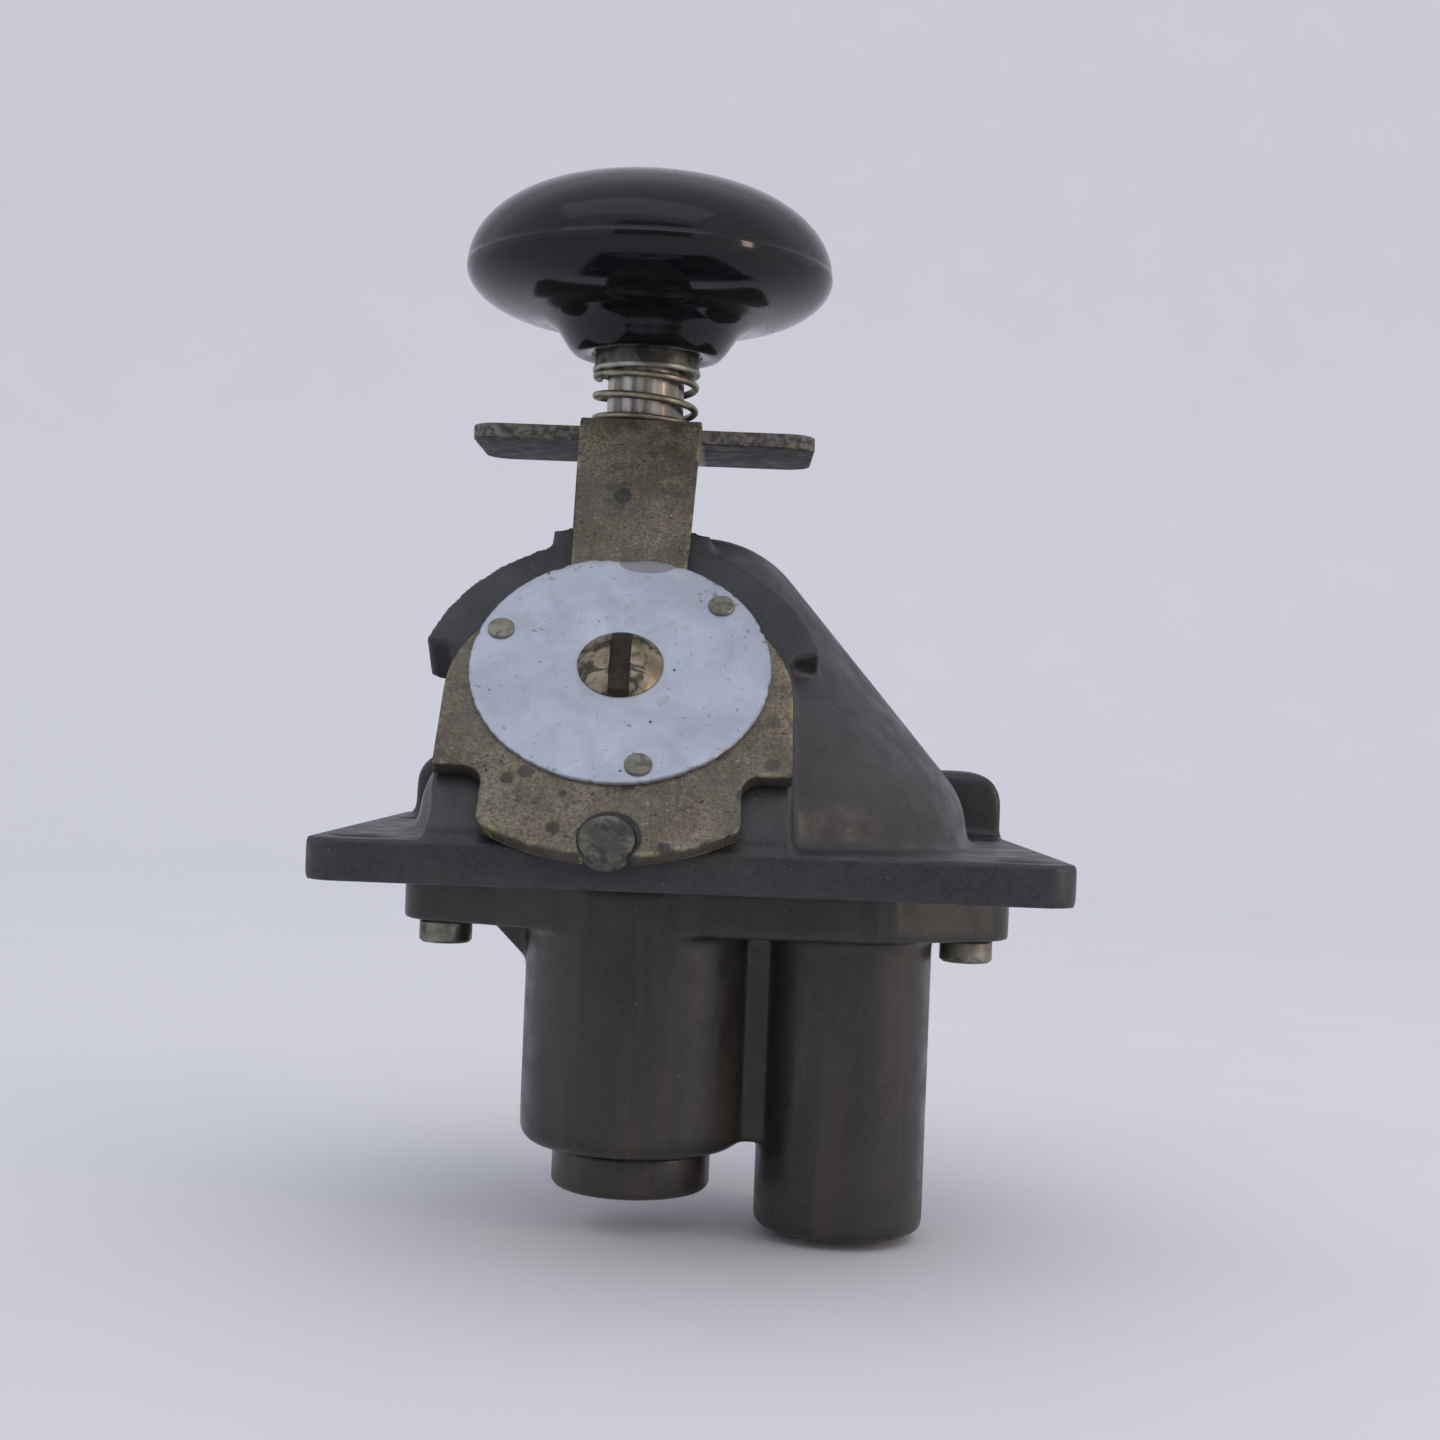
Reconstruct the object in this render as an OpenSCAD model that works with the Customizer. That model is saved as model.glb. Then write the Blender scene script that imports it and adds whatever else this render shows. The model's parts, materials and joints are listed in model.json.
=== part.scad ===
// Lever-operated control valve for a console: a cast housing with a mounting flange, an inclined
// lever with a spring-loaded push knob, and a lower body with two valve cylinders.
// Origin: centre of the flange's underside. +Z up, -Y is the operator's side. Millimetres.

/* [Flange] */
// Width of the mounting flange
flange_w = 114; // [110:1:120]
// Depth of the mounting flange
flange_d = 100; // [98:1:110]
// Thickness of the mounting flange
flange_t = 6.4; // [5:0.1:8]
// Diameter of the four mounting holes
mount_hole_d = 7.1; // [5:0.1:9]
// Spacing of the mounting holes across the width
mount_dx = 99; // [96:1:104]
// Spacing of the mounting holes along the depth
mount_dy = 63; // [60:1:66]

/* [Dome] */
// Radius of the dome where it meets the flange
dome_base_r = 46.5; // [44:0.5:47]
// Height of the dome's top above the mounting face
dome_top_z = 57; // [54:0.5:60]
// Wall thickness of the casting
wall = 4; // [3:0.5:5]

/* [Hub] */
// Distance of the lever's pivot to the left of the middle
hub_offset = 12.3; // [10:0.1:15]
// Distance of the disc's centre from the middle, towards the operator
hub_forward = 31.5; // [31:0.1:32.5]
// Height of the disc's centre above the mounting face
hub_z = 33.2; // [32.8:0.1:34]
// Elevation of the pivot axis above the horizontal, in degrees
hub_tilt = 40; // [39:0.5:41]
// Outer radius of the quadrant rim
quadrant_r = 32.2; // [30:0.1:33]
// Outer radius of the raised gate on the quadrant
gate_r = 35.4; // [34:0.1:36]

/* [Lever] */
// Thickness of the stamped lever
plate_t = 2.6; // [2:0.1:2.8]
// Half width of the lever's hub plate
plate_half_w = 26.8; // [26:0.1:27]
// Width of the arm where it meets the finger platform
arm_w = 21.2; // [18:0.1:22]
// Width of the arm at the pivot's height
arm_low_w = 17.6; // [16:0.1:22]
// Height of the finger platform's top face above the mounting face
platform_z = 78; // [74:0.5:82]
// Span of the finger wings from tip to tip
wing_span = 62; // [56:1:66]
// Radius of the round name disc
disc_r = 23.4; // [22:0.1:24]
// Swing of the lever to each side, in degrees
lever_swing = 25; // [10:1:25]

/* [Knob] */
// Radius of the knob
knob_r = 33; // [28:0.5:36]
// Height of the knob's top above the mounting face
knob_top_z = 122.5; // [120:0.5:128]
// Diameter of the push rod
rod_d = 13.8; // [12:0.1:14]
// Distance of the push rod from the middle, away from the operator
rod_back = 20; // [20:0.5:22]
// Travel of the knob when pressed
press_travel = 4.5; // [2:0.1:4.5]
// Wire diameter of the knob's spring
spring_wire = 1.3; // [1:0.1:1.5]

/* [Lower body] */
// Thickness of the lower body's own flange
body_flange_t = 8.2; // [6:0.1:9]
// Radius of the large cylinder
large_cyl_r = 18.8; // [18:0.1:19.5]
// Radius of the small cylinder
small_cyl_r = 14.1; // [13:0.1:15]
// Depth of the large cylinder's end below the mounting face
large_cyl_depth = 45; // [43:0.5:48]
// Depth of the small cylinder's end below the mounting face
small_cyl_depth = 57.7; // [54:0.5:60]
// Radius of the two pipe ports
port_r = 5.7; // [4:0.1:6]

/* [Hidden] */
$fn = 96;
eps = 0.01;
gap = 0.3;           // clearance between pieces that pass each other
fit = 0.05;          // radial clearance of a running fit

// Flange, dome and rear wall
flange_corner_r = 5;
mount_y = -9;
spotface_r = 4.8;
spotface_h = 0.6;
dome_c = [-0.5, 2];
dome_base_round = 15;
dome_top_round = 20;
dome_base_c = [dome_base_r - dome_base_round, 8];
dome_top_c = [0, dome_top_z - dome_top_round];
rear_wall_h = 18.5;
rear_wall_t = 9;
rear_wall_back = flange_d / 2 - 8;
rear_wall_left = -53;
rear_wall_right = flange_w / 2 - 0.5;
rear_wall_corner_r = 6;

// Hub, in its own frame: x across, y up the incline, z out of the disc
hub_c = [-hub_offset, -hub_forward, hub_z];
block_half_w = 27;
block_front = -plate_t - 0.4;
block_back = -34;
block_foot = -37;
quadrant_back = -12.2;
quadrant_half_angle = 52 + lever_swing;
gate_half_w = 13.2;
bush_r = 9;
bush_back = -22;
shaft_r = 6;
shaft_back = -38;

// Lever
shoulder_r = 20;
shoulder_y = -5;
step_y = -20.3;
tongue_half_w = 19.3;
tongue_r = 36.2;
tongue_corner_r = 2;
tongue_corner_x = tongue_half_w - tongue_corner_r;
tongue_corner_y = -sqrt(pow(tongue_r - tongue_corner_r, 2) - pow(tongue_corner_x, 2));
step_fillet = 3;
arm_root = 8;
bend_in_r = 2.5;
bend_out_r = bend_in_r + plate_t;
bend_z = platform_z - bend_out_r;
bend_y = (bend_z - hub_z + sin(hub_tilt) * bend_out_r) / cos(hub_tilt);
bend_row_y = -hub_forward + sin(hub_tilt) * bend_y + cos(hub_tilt) * bend_out_r;
wing_front = bend_row_y + 9;
wing_back = 47;
wing_corner_r = 5;
disc_t = 0.8;
rivet_ring_r = 20.2;
rivet_r = 2.1;
rivet_first = 41;
screw_head_r = 6.9;
screw_head_h = 2.6;
screw_slot_w = 3.2;
pivot_thread_r = 3;
pivot_thread_l = 16;
pin_r = 4.2;
pin_ring_r = 33.2;
pin_front = 0.8;

// Cam: its working edge is the involute of a circle, so the follower moves evenly with the lever
cam_front = -30;
cam_back = -36;
cam_lift_per_rad = 5;
cam_r = 12;
cam_opening_r = 17;
cam_low_z = hub_z - cos(hub_tilt) * cam_r + sin(hub_tilt) * cam_back;

// Knob, rod and spring
rod_c = [-hub_offset, rod_back];
rod_bottom_z = 67;
rod_top_z = knob_top_z - 12;
spring_pressed_h = 5.3;
cup_z = platform_z + spring_pressed_h + press_travel;
cup_r = 9.75;
cup_t = 1.2;
cup_h = 4;
knob_bottom_z = cup_z + 3.2;
knob_rim_z = 106;
clip_z = platform_z - plate_t - 1.6;
spring_r = 9;
neck_outline = [[12.3, 0], [14.4, 1.5], [16.9, 4.9], [19, 6.2]];
belly_r = 16;
belly_h = 8.9;
spring_turns = 2.1;

// Lower body and its valves
gasket_t = 0.8;
body_top = -gasket_t;
body_bottom = body_top - body_flange_t;
large_c = [-8.7, -5];
small_c = [26.2, -5];
boss_r = 7;
screw_xy = [[-41.2, -5], [46.1, -5], [-30, 28], [34, 28]];
cap_screw_r = 4.4;
cap_screw_h = 3.9;
thread_r = 2.5;
cap_r = 13.2;
cap_depth = 52.3;
large_bore_r = 11;
small_bore_r = 9;
well_r = 14;
well_floor = -10;
rib_w = 6;
rib_t = 4;
guide_floor = -17;
stem_r = 4;
follower_top = cam_low_z - gap;
follower_head_r = 12;
follower_head_t = 3;
piston_top = -25.5;
piston_h = 6;
cap_inner_z = -39.5;
relay_top = -4.5;
relay_h = 7;
relay_floor = -small_cyl_depth + 5;
port_z = -24;
port_l = 12;
port_back = 27;

// Frame of the hub: local z points out of the name disc
module at_hub() {
    translate(hub_c) rotate([90 - hub_tilt, 0, 0]) children();
}

// Points of an arc with a given centre, radius and pair of angles
function arc(c, r, a0, a1, n = 10) =
    [for (i = [0:n]) let (a = a0 + (a1 - a0) * i / n) c + r * [cos(a), sin(a)]];

// Angle at which the dome's straight flank leaves its base round and meets its top round
flank = dome_top_c - dome_base_c;
flank_angle = atan2(flank[1], flank[0])
              - acos((dome_base_round - dome_top_round) / norm(flank));

// Half outline of the dome, drawn in by a distance for the inside of its wall
function dome_outline(inset) = concat(
    [[0, 0], [dome_base_r - inset, 0]],
    arc(dome_base_c, dome_base_round - inset, 0, flank_angle),
    arc(dome_top_c, dome_top_round - inset, flank_angle, 90));

module dome(inset) {
    translate([dome_c[0], dome_c[1], 0]) rotate_extrude() polygon(dome_outline(inset));
}

module rounded_rect(w, d, r) {
    square([w - 2 * r, d], center = true);
    square([w, d - 2 * r], center = true);
    for (x = [-1, 1], y = [-1, 1]) translate([x * (w / 2 - r), y * (d / 2 - r)]) circle(r);
}

// Ring sector around the hub axis, centred on the local +y direction
module ring_sector(r_in, r_out, z0, z1, half_angle) {
    far = 2 * r_out;
    translate([0, 0, z0]) intersection() {
        difference() {
            cylinder(r = r_out, h = z1 - z0);
            translate([0, 0, -1]) cylinder(r = r_in, h = z1 - z0 + 2);
        }
        linear_extrude(z1 - z0) polygon(concat(
            [[0, 0]], [for (i = [-4:4]) far * [sin(half_angle * i / 4), cos(half_angle * i / 4)]]));
    }
}

// Round bar with both ends chamfered
module chamfered_bar(r, h, c) {
    rotate_extrude() polygon([[0, 0], [r - c, 0], [r, c], [r, h - c], [r - c, h], [0, h]]);
}

module mount_holes() {
    for (x = [-1, 1], y = [-1, 1]) translate([x * mount_dx / 2, mount_y + y * mount_dy / 2, 0]) {
        translate([0, 0, -1]) cylinder(d = mount_hole_d, h = flange_t + 2);
        translate([0, 0, flange_t - spotface_h]) cylinder(r = spotface_r, h = flange_t);
    }
}

module hub_block() {
    intersection() {
        at_hub() translate([0, 0, block_back]) linear_extrude(block_front - block_back) {
            circle(block_half_w);
            translate([-block_half_w, block_foot]) square([2 * block_half_w, -block_foot]);
        }
        translate([-flange_w / 2, -flange_d / 2 + 1.5, eps])
            cube([flange_w, flange_d - 20, dome_top_z + 10]);
    }
}

// Hollow under the dome, closed by the flange except above the cam follower
module dome_hollow() {
    difference() {
        intersection() {
            dome(wall);
            translate([-flange_w / 2, -flange_d / 2, flange_t])
                cube([flange_w, flange_d, dome_top_z]);
        }
        at_hub() translate([0, 0, bush_back - 2]) cylinder(r = bush_r + wall, h = -bush_back);
    }
    translate([large_c[0], large_c[1], -1]) cylinder(r = cam_opening_r, h = flange_t + 2);
}

// Raised block at the top of the quadrant
module gate() {
    translate([0, 0, quadrant_back]) linear_extrude(block_front - quadrant_back) intersection() {
        circle(gate_r);
        translate([-gate_half_w, 0]) square([2 * gate_half_w, gate_r]);
    }
}

// Upright wall near the flange's rear edge, with rounded upper corners
module rear_wall() {
    translate([(rear_wall_left + rear_wall_right) / 2, rear_wall_back, 0]) rotate([90, 0, 0])
        linear_extrude(rear_wall_t) intersection() {
            rounded_rect(rear_wall_right - rear_wall_left, 2 * rear_wall_h, rear_wall_corner_r);
            translate([-flange_w, eps]) square([2 * flange_w, rear_wall_h]);
        }
}

module housing() {
    color("dimgray") difference() {
        union() {
            linear_extrude(flange_t) rounded_rect(flange_w, flange_d, flange_corner_r);
            dome(0);
            hub_block();
            rear_wall();
            at_hub() {
                ring_sector(block_half_w - 1, quadrant_r, quadrant_back, block_front,
                            quadrant_half_angle);
                gate();
            }
        }
        dome_hollow();
        mount_holes();
        at_hub() translate([0, 0, bush_back - 10]) cylinder(r = bush_r, h = 40);
        for (p = screw_xy) translate([p[0], p[1], -1]) cylinder(r = thread_r, h = flange_t - 0.6);
    }
}

module hub_bushing() {
    color("goldenrod") at_hub() translate([0, 0, bush_back]) difference() {
        cylinder(r = bush_r, h = block_front - bush_back);
        translate([0, 0, -1]) cylinder(r = shaft_r + fit, h = block_front - bush_back + 2);
    }
}

// Plan of the lower body's flange: four screw bosses joined round the cylinders
module body_plan() {
    hull() {
        for (p = screw_xy) translate(p) circle(boss_r, $fn = 32);
        translate(large_c) circle(large_cyl_r - 0.5, $fn = 32);
        translate(small_c) circle(small_cyl_r + 3, $fn = 32);
    }
}

module lower_body() {
    web_depth = large_cyl_depth - 1.5;
    color("darkslategray") difference() {
        union() {
            translate([0, 0, body_bottom]) linear_extrude(body_flange_t) body_plan();
            translate([large_c[0], large_c[1], -large_cyl_depth]) rotate_extrude()
                polygon(concat([[0, large_cyl_depth - 2], [0, 0]],
                    arc([large_cyl_r - 3, 3], 3, -90, 0, 5), [[large_cyl_r, large_cyl_depth - 2]]));
            translate([small_c[0], small_c[1], -small_cyl_depth]) rotate_extrude()
                polygon(concat([[0, small_cyl_depth - 2], [0, 0]],
                    arc([small_cyl_r - 1.5, 1.5], 1.5, -90, 0, 4),
                    [[small_cyl_r, small_cyl_depth - 2]]));
            translate([large_c[0], large_c[1] - 6, -web_depth])
                cube([small_c[0] - large_c[0], 12, web_depth - 2]);
            for (c = [large_c, small_c]) translate([c[0], c[1], port_z]) rotate([-90, 0, 0])
                cylinder(r = port_r + 3, h = port_back);
            translate([large_c[0] - large_cyl_r - rib_w, large_c[1] + rib_t / 2, body_bottom])
                rotate([90, 0, 0]) linear_extrude(rib_t)
                    polygon([[0, eps], [1.5 * rib_w, eps], [1.5 * rib_w, -1.5 * rib_w]]);
        }
        translate([large_c[0], large_c[1], well_floor]) cylinder(r = well_r, h = 20);
        translate([large_c[0], large_c[1], -large_cyl_depth - 1])
            cylinder(r = large_bore_r, h = large_cyl_depth + 1 + guide_floor);
        translate([large_c[0], large_c[1], guide_floor - 1]) cylinder(r = stem_r + fit, h = 20);
        translate([small_c[0], small_c[1], relay_floor]) cylinder(r = small_bore_r, h = 60);
        for (c = [large_c, small_c]) translate([c[0], c[1] + port_back - port_l, port_z])
            rotate([-90, 0, 0]) cylinder(r = port_r, h = port_l + 1);
        for (c = [large_c, small_c]) translate([c[0], c[1], port_z]) rotate([-90, 0, 0])
            cylinder(r = 2.5, h = port_back);
        for (p = screw_xy) translate([p[0], p[1], body_bottom - 1])
            cylinder(r = thread_r + 0.2, h = body_flange_t + 2);
    }
}

module body_gasket() {
    color("black") translate([0, 0, body_top]) difference() {
        linear_extrude(gasket_t) body_plan();
        translate([large_c[0], large_c[1], -1]) cylinder(r = well_r, h = 4);
        for (p = screw_xy) translate([p[0], p[1], -1]) cylinder(r = thread_r + 0.2, h = 4);
    }
}

module body_screws() {
    color("gray") for (p = screw_xy) translate([p[0], p[1], body_bottom]) difference() {
        union() {
            translate([0, 0, -cap_screw_h]) chamfered_bar(cap_screw_r, cap_screw_h, 0.5);
            translate([0, 0, -eps]) cylinder(r = thread_r - fit, h = body_flange_t + 5);
        }
        translate([0, 0, -cap_screw_h - 1]) cylinder(r = 2.3, h = 3.2, $fn = 6);
    }
}

module cylinder_cap() {
    color("dimgray") translate([large_c[0], large_c[1], 0]) difference() {
        union() {
            translate([0, 0, -cap_depth]) chamfered_bar(cap_r, cap_depth - large_cyl_depth, 0.8);
            translate([0, 0, -large_cyl_depth - eps])
                cylinder(r = large_bore_r - fit, h = large_cyl_depth + cap_inner_z);
        }
        translate([0, 0, -42]) difference() {
            cylinder(r = large_bore_r + 1, h = 1.6);
            translate([0, 0, -1]) cylinder(r = large_bore_r - 1.6, h = 4);
        }
    }
}

module cap_seal() {
    color("black") translate([large_c[0], large_c[1], -41.2]) rotate_extrude()
        translate([large_bore_r - 0.85, 0]) circle(0.72, $fn = 24);
}

module relay_cover() {
    color("silver") translate([small_c[0], small_c[1], body_top - 3]) difference() {
        cylinder(r = small_bore_r - fit, h = 3);
        translate([0, 0, -1]) cylinder(r = 2, h = 5);
    }
}

module step_fillet_2d() {
    difference() {
        square(step_fillet);
        translate([step_fillet, step_fillet]) circle(step_fillet);
    }
}

// Flat outline of the lever's hub plate
module plate_2d() {
    translate([-plate_half_w, step_y]) square([2 * plate_half_w, shoulder_y - step_y]);
    for (s = [-1, 1]) translate([s * (plate_half_w - shoulder_r), shoulder_y]) circle(shoulder_r);
    translate([-plate_half_w + shoulder_r, shoulder_y])
        square([2 * (plate_half_w - shoulder_r), shoulder_r]);
    intersection() {
        circle(tongue_r);
        translate([-tongue_corner_x, -tongue_r]) square([2 * tongue_corner_x, tongue_r]);
    }
    translate([-tongue_half_w, tongue_corner_y]) square([2 * tongue_half_w, -tongue_corner_y]);
    for (s = [-1, 1]) translate([s * tongue_corner_x, tongue_corner_y]) circle(tongue_corner_r);
    for (s = [0, 1]) mirror([s, 0]) translate([tongue_half_w, step_y + eps]) mirror([0, 1])
        step_fillet_2d();
}

module wings_2d() {
    wing_d = wing_back - wing_front;
    translate([0, wing_front + wing_d / 2]) rounded_rect(wing_span, wing_d, wing_corner_r);
}

// Side view of the arm, its bend and the neck of the platform, in y and z
function arm_profile() =
    let (c = [bend_row_y, bend_z], lean = 180 - hub_tilt,
         down = (bend_y - arm_root) * [-sin(hub_tilt), -cos(hub_tilt)])
    concat([[wing_front + 4, platform_z]], arc(c, bend_out_r, 90, lean),
           [c + bend_out_r * [cos(lean), sin(lean)] + down,
            c + bend_in_r * [cos(lean), sin(lean)] + down],
           arc(c, bend_in_r, lean, 90), [[wing_front + 4, platform_z - plate_t]]);

// The arm widens towards the platform
module arm() {
    translate([-hub_offset, 0, 0]) intersection() {
        rotate([90, 0, 90]) linear_extrude(arm_w, center = true) polygon(arm_profile());
        rotate([90, 0, 0]) linear_extrude(2 * wing_back + 20, center = true)
            polygon([[-arm_low_w / 2, hub_z], [arm_low_w / 2, hub_z],
                     [arm_w / 2, platform_z], [arm_w / 2, platform_z + 1],
                     [-arm_w / 2, platform_z + 1], [-arm_w / 2, platform_z]]);
    }
}

module lever() {
    color("tan") difference() {
        union() {
            at_hub() translate([0, 0, -plate_t]) linear_extrude(plate_t) plate_2d();
            translate([-hub_offset, 0, platform_z - plate_t]) linear_extrude(plate_t) wings_2d();
            arm();
        }
        at_hub() translate([0, 0, -plate_t - 1]) cylinder(r = pivot_thread_r + 0.2, h = plate_t + 2);
        at_hub() translate([0, -pin_ring_r, -plate_t - 1]) cylinder(r = pin_r, h = plate_t + 2);
        for (i = [0:2]) at_hub() rotate(rivet_first + 120 * i)
            translate([rivet_ring_r, 0, -plate_t - 1]) cylinder(r = 1.3, h = plate_t + 2);
        translate([rod_c[0], rod_c[1], platform_z - plate_t - 1])
            cylinder(r = rod_d / 2 + fit, h = plate_t + 2);
    }
}

module name_disc() {
    color("lightsteelblue") at_hub() difference() {
        cylinder(r = disc_r, h = disc_t);
        translate([0, 0, -1]) cylinder(r = pivot_thread_r + 0.2, h = 3);
        for (i = [0:2]) rotate(rivet_first + 120 * i) translate([rivet_ring_r, 0, -1])
            cylinder(r = 1.3, h = 3);
    }
}

module disc_rivets() {
    color("darkkhaki") for (i = [0:2]) at_hub() rotate(rivet_first + 120 * i)
        translate([rivet_ring_r, 0, 0]) {
            translate([0, 0, disc_t]) chamfered_bar(rivet_r, 0.5, 0.2);
            translate([0, 0, -plate_t + 0.1]) cylinder(r = 1.3, h = plate_t + disc_t);
        }
}

module pivot_screw() {
    dome_r = (screw_head_r * screw_head_r + screw_head_h * screw_head_h) / (2 * screw_head_h);
    color("peru") at_hub() difference() {
        union() {
            intersection() {
                translate([0, 0, disc_t + screw_head_h - dome_r]) sphere(dome_r);
                translate([0, 0, disc_t]) cylinder(r = screw_head_r - 0.2, h = screw_head_h + 1);
            }
            translate([0, 0, -pivot_thread_l]) cylinder(r = pivot_thread_r, h = pivot_thread_l + 1);
        }
        translate([-screw_slot_w / 2, -screw_head_r - 1, disc_t + 0.9])
            cube([screw_slot_w, 2 * screw_head_r + 2, screw_head_h]);
    }
}

module index_pin() {
    color("gray") at_hub() translate([0, -pin_ring_r, 0]) {
        translate([0, 0, -plate_t]) chamfered_bar(pin_r, plate_t + pin_front, 0.5);
    }
}

module pivot_shaft() {
    color("silver") at_hub() difference() {
        translate([0, 0, shaft_back]) cylinder(r = shaft_r, h = -plate_t - shaft_back);
        translate([0, 0, -pivot_thread_l - 1]) cylinder(r = pivot_thread_r, h = pivot_thread_l);
    }
}

// Point on the cam's working edge for a given direction of its outward normal, in degrees
function cam_point(a) =
    let (h = cam_r + cam_lift_per_rad * a * PI / 180, t = a - 90)
    h * [cos(t), sin(t)] + cam_lift_per_rad * [-sin(t), cos(t)];

module cam() {
    work = 45;
    color("lightgray") at_hub() difference() {
        translate([0, 0, cam_back]) linear_extrude(cam_front - cam_back) {
            circle(shaft_r + 2.2);
            polygon(concat([[0, 0]], [for (a = [-work:5:work]) cam_point(a)]));
        }
        translate([0, 0, cam_back - 1]) cylinder(r = shaft_r, h = cam_front - cam_back + 2);
        translate([0, 0, (cam_front + cam_back) / 2]) rotate([-90, 0, 0])
            cylinder(r = 1.5, h = 12);
    }
}

module cam_screw() {
    color("dimgray") at_hub() translate([0, shaft_r, (cam_front + cam_back) / 2])
        rotate([-90, 0, 0]) cylinder(r = 1.5, h = 2.6);
}

// Half outline of the knob: flared neck, rounded underside, parting edge and shallow crown
function knob_outline() = concat(
    [[0, knob_bottom_z]], [for (p = neck_outline) [p[0], knob_bottom_z + p[1]]],
    [for (i = [0:6]) let (a = -70 + i * 70 / 6)
        [belly_r + (knob_r - belly_r) * cos(a), knob_rim_z + belly_h * sin(a)]],
    [for (i = [1:10]) let (a = 9 * i)
        [knob_r * pow(cos(a), 0.8), knob_rim_z + (knob_top_z - knob_rim_z) * sin(a)]]);

module knob() {
    color("black") translate([rod_c[0], rod_c[1], 0]) difference() {
        rotate_extrude() polygon(knob_outline());
        translate([0, 0, knob_bottom_z - 1]) cylinder(d = rod_d, h = rod_top_z - knob_bottom_z + 1);
        translate([0, 0, knob_bottom_z - 1]) cylinder(r = cup_r, h = cup_z + cup_h - knob_bottom_z + 1);
    }
}

module press_rod() {
    color("silver") translate([rod_c[0], rod_c[1], rod_bottom_z]) difference() {
        chamfered_bar(rod_d / 2, rod_top_z - rod_bottom_z, 1);
        translate([0, 0, clip_z - rod_bottom_z]) difference() {
            cylinder(r = rod_d, h = 1.3);
            translate([0, 0, -1]) cylinder(r = rod_d / 2 - 1, h = 4);
        }
    }
}

module spring_cup() {
    color("darkgray") translate([rod_c[0], rod_c[1], cup_z]) difference() {
        cylinder(r = cup_r, h = cup_h);
        translate([0, 0, -1]) cylinder(d = rod_d, h = cup_h + 2);
        translate([0, 0, -1]) cylinder(r = cup_r - cup_t, h = cup_h + 1 - cup_t);
    }
}

module rod_clip() {
    color("gray") translate([rod_c[0], rod_c[1], clip_z]) difference() {
        cylinder(r = rod_d / 2 + 2, h = 1.3);
        translate([0, 0, -1]) cylinder(r = rod_d / 2 - 1, h = 4);
        translate([-3, -rod_d, -1]) cube([6, rod_d, 4]);
    }
}

// Round wire wound in a helix from z0 up to z1, as rings of points joined into one closed solid
module wire_spring(r, wire_r, z0, z1, turns) {
    sides = 8;
    steps = ceil(turns * 20);
    points = [for (i = [0:steps], j = [0:sides - 1])
        let (a = 360 * turns * i / steps, b = 360 * j / sides, rho = r + wire_r * cos(b))
        [rho * cos(a), rho * sin(a),
         z0 + wire_r + (z1 - z0 - 2 * wire_r) * i / steps + wire_r * sin(b)]];
    last = steps * sides;
    faces = concat(
        [[for (j = [0:sides - 1]) j]],
        [[for (j = [sides - 1:-1:0]) last + j]],
        [for (i = [0:steps - 1], j = [0:sides - 1])
            let (k = (j + 1) % sides, p = i * sides, q = p + sides) [p + j, q + j, q + k, p + k]]);
    polyhedron(points, faces, convexity = 10);
}

module knob_spring() {
    color("gray") translate([rod_c[0], rod_c[1], 0]) rotate(200)
        wire_spring(spring_r, spring_wire / 2, platform_z, cup_z, spring_turns);
}

module cam_follower() {
    color("silver") translate([large_c[0], large_c[1], 0]) {
        translate([0, 0, follower_top - follower_head_t])
            chamfered_bar(follower_head_r, follower_head_t, 0.4);
        translate([0, 0, piston_top]) cylinder(r = stem_r, h = follower_top - 1 - piston_top);
    }
}

module metering_piston() {
    color("goldenrod") translate([large_c[0], large_c[1], piston_top - piston_h]) difference() {
        cylinder(r = large_bore_r - fit, h = piston_h);
        translate([0, 0, 2]) difference() {
            cylinder(r = large_bore_r + 1, h = 1.6);
            translate([0, 0, -1]) cylinder(r = large_bore_r - 1.6, h = 4);
        }
    }
}

module piston_seal() {
    color("black") translate([large_c[0], large_c[1], piston_top - piston_h + 2.8])
        rotate_extrude() translate([large_bore_r - 0.85, 0]) circle(0.72, $fn = 24);
}

module follower_spring() {
    color("gray") translate([large_c[0], large_c[1], 0])
        wire_spring(7, 0.8, cap_inner_z, piston_top - piston_h, 2.5);
}

module relay_piston() {
    color("goldenrod") translate([small_c[0], small_c[1], relay_top - relay_h]) difference() {
        cylinder(r = small_bore_r - fit, h = relay_h);
        translate([0, 0, 3]) difference() {
            cylinder(r = small_bore_r + 1, h = 1.6);
            translate([0, 0, -1]) cylinder(r = small_bore_r - 1.6, h = 4);
        }
    }
}

module relay_seal() {
    color("black") translate([small_c[0], small_c[1], relay_top - relay_h + 3.8])
        rotate_extrude() translate([small_bore_r - 0.85, 0]) circle(0.72, $fn = 24);
}

module relay_spring() {
    color("gray") translate([small_c[0], small_c[1], 0])
        wire_spring(6, 0.7, relay_floor, relay_top - relay_h, 6);
}

housing();
hub_bushing();
lower_body();
body_gasket();
body_screws();
cylinder_cap();
cap_seal();
relay_cover();
lever();
name_disc();
disc_rivets();
pivot_screw();
index_pin();
pivot_shaft();
cam();
cam_screw();
knob();
press_rod();
spring_cup();
rod_clip();
knob_spring();
cam_follower();
metering_piston();
piston_seal();
follower_spring();
relay_piston();
relay_seal();
relay_spring();
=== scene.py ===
"""Looks of the lever control valve: worn castings, a stamped lever and a glossy push knob."""
import json
import math
import random

import bmesh
import bpy
from mathutils import Matrix, Vector


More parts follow.
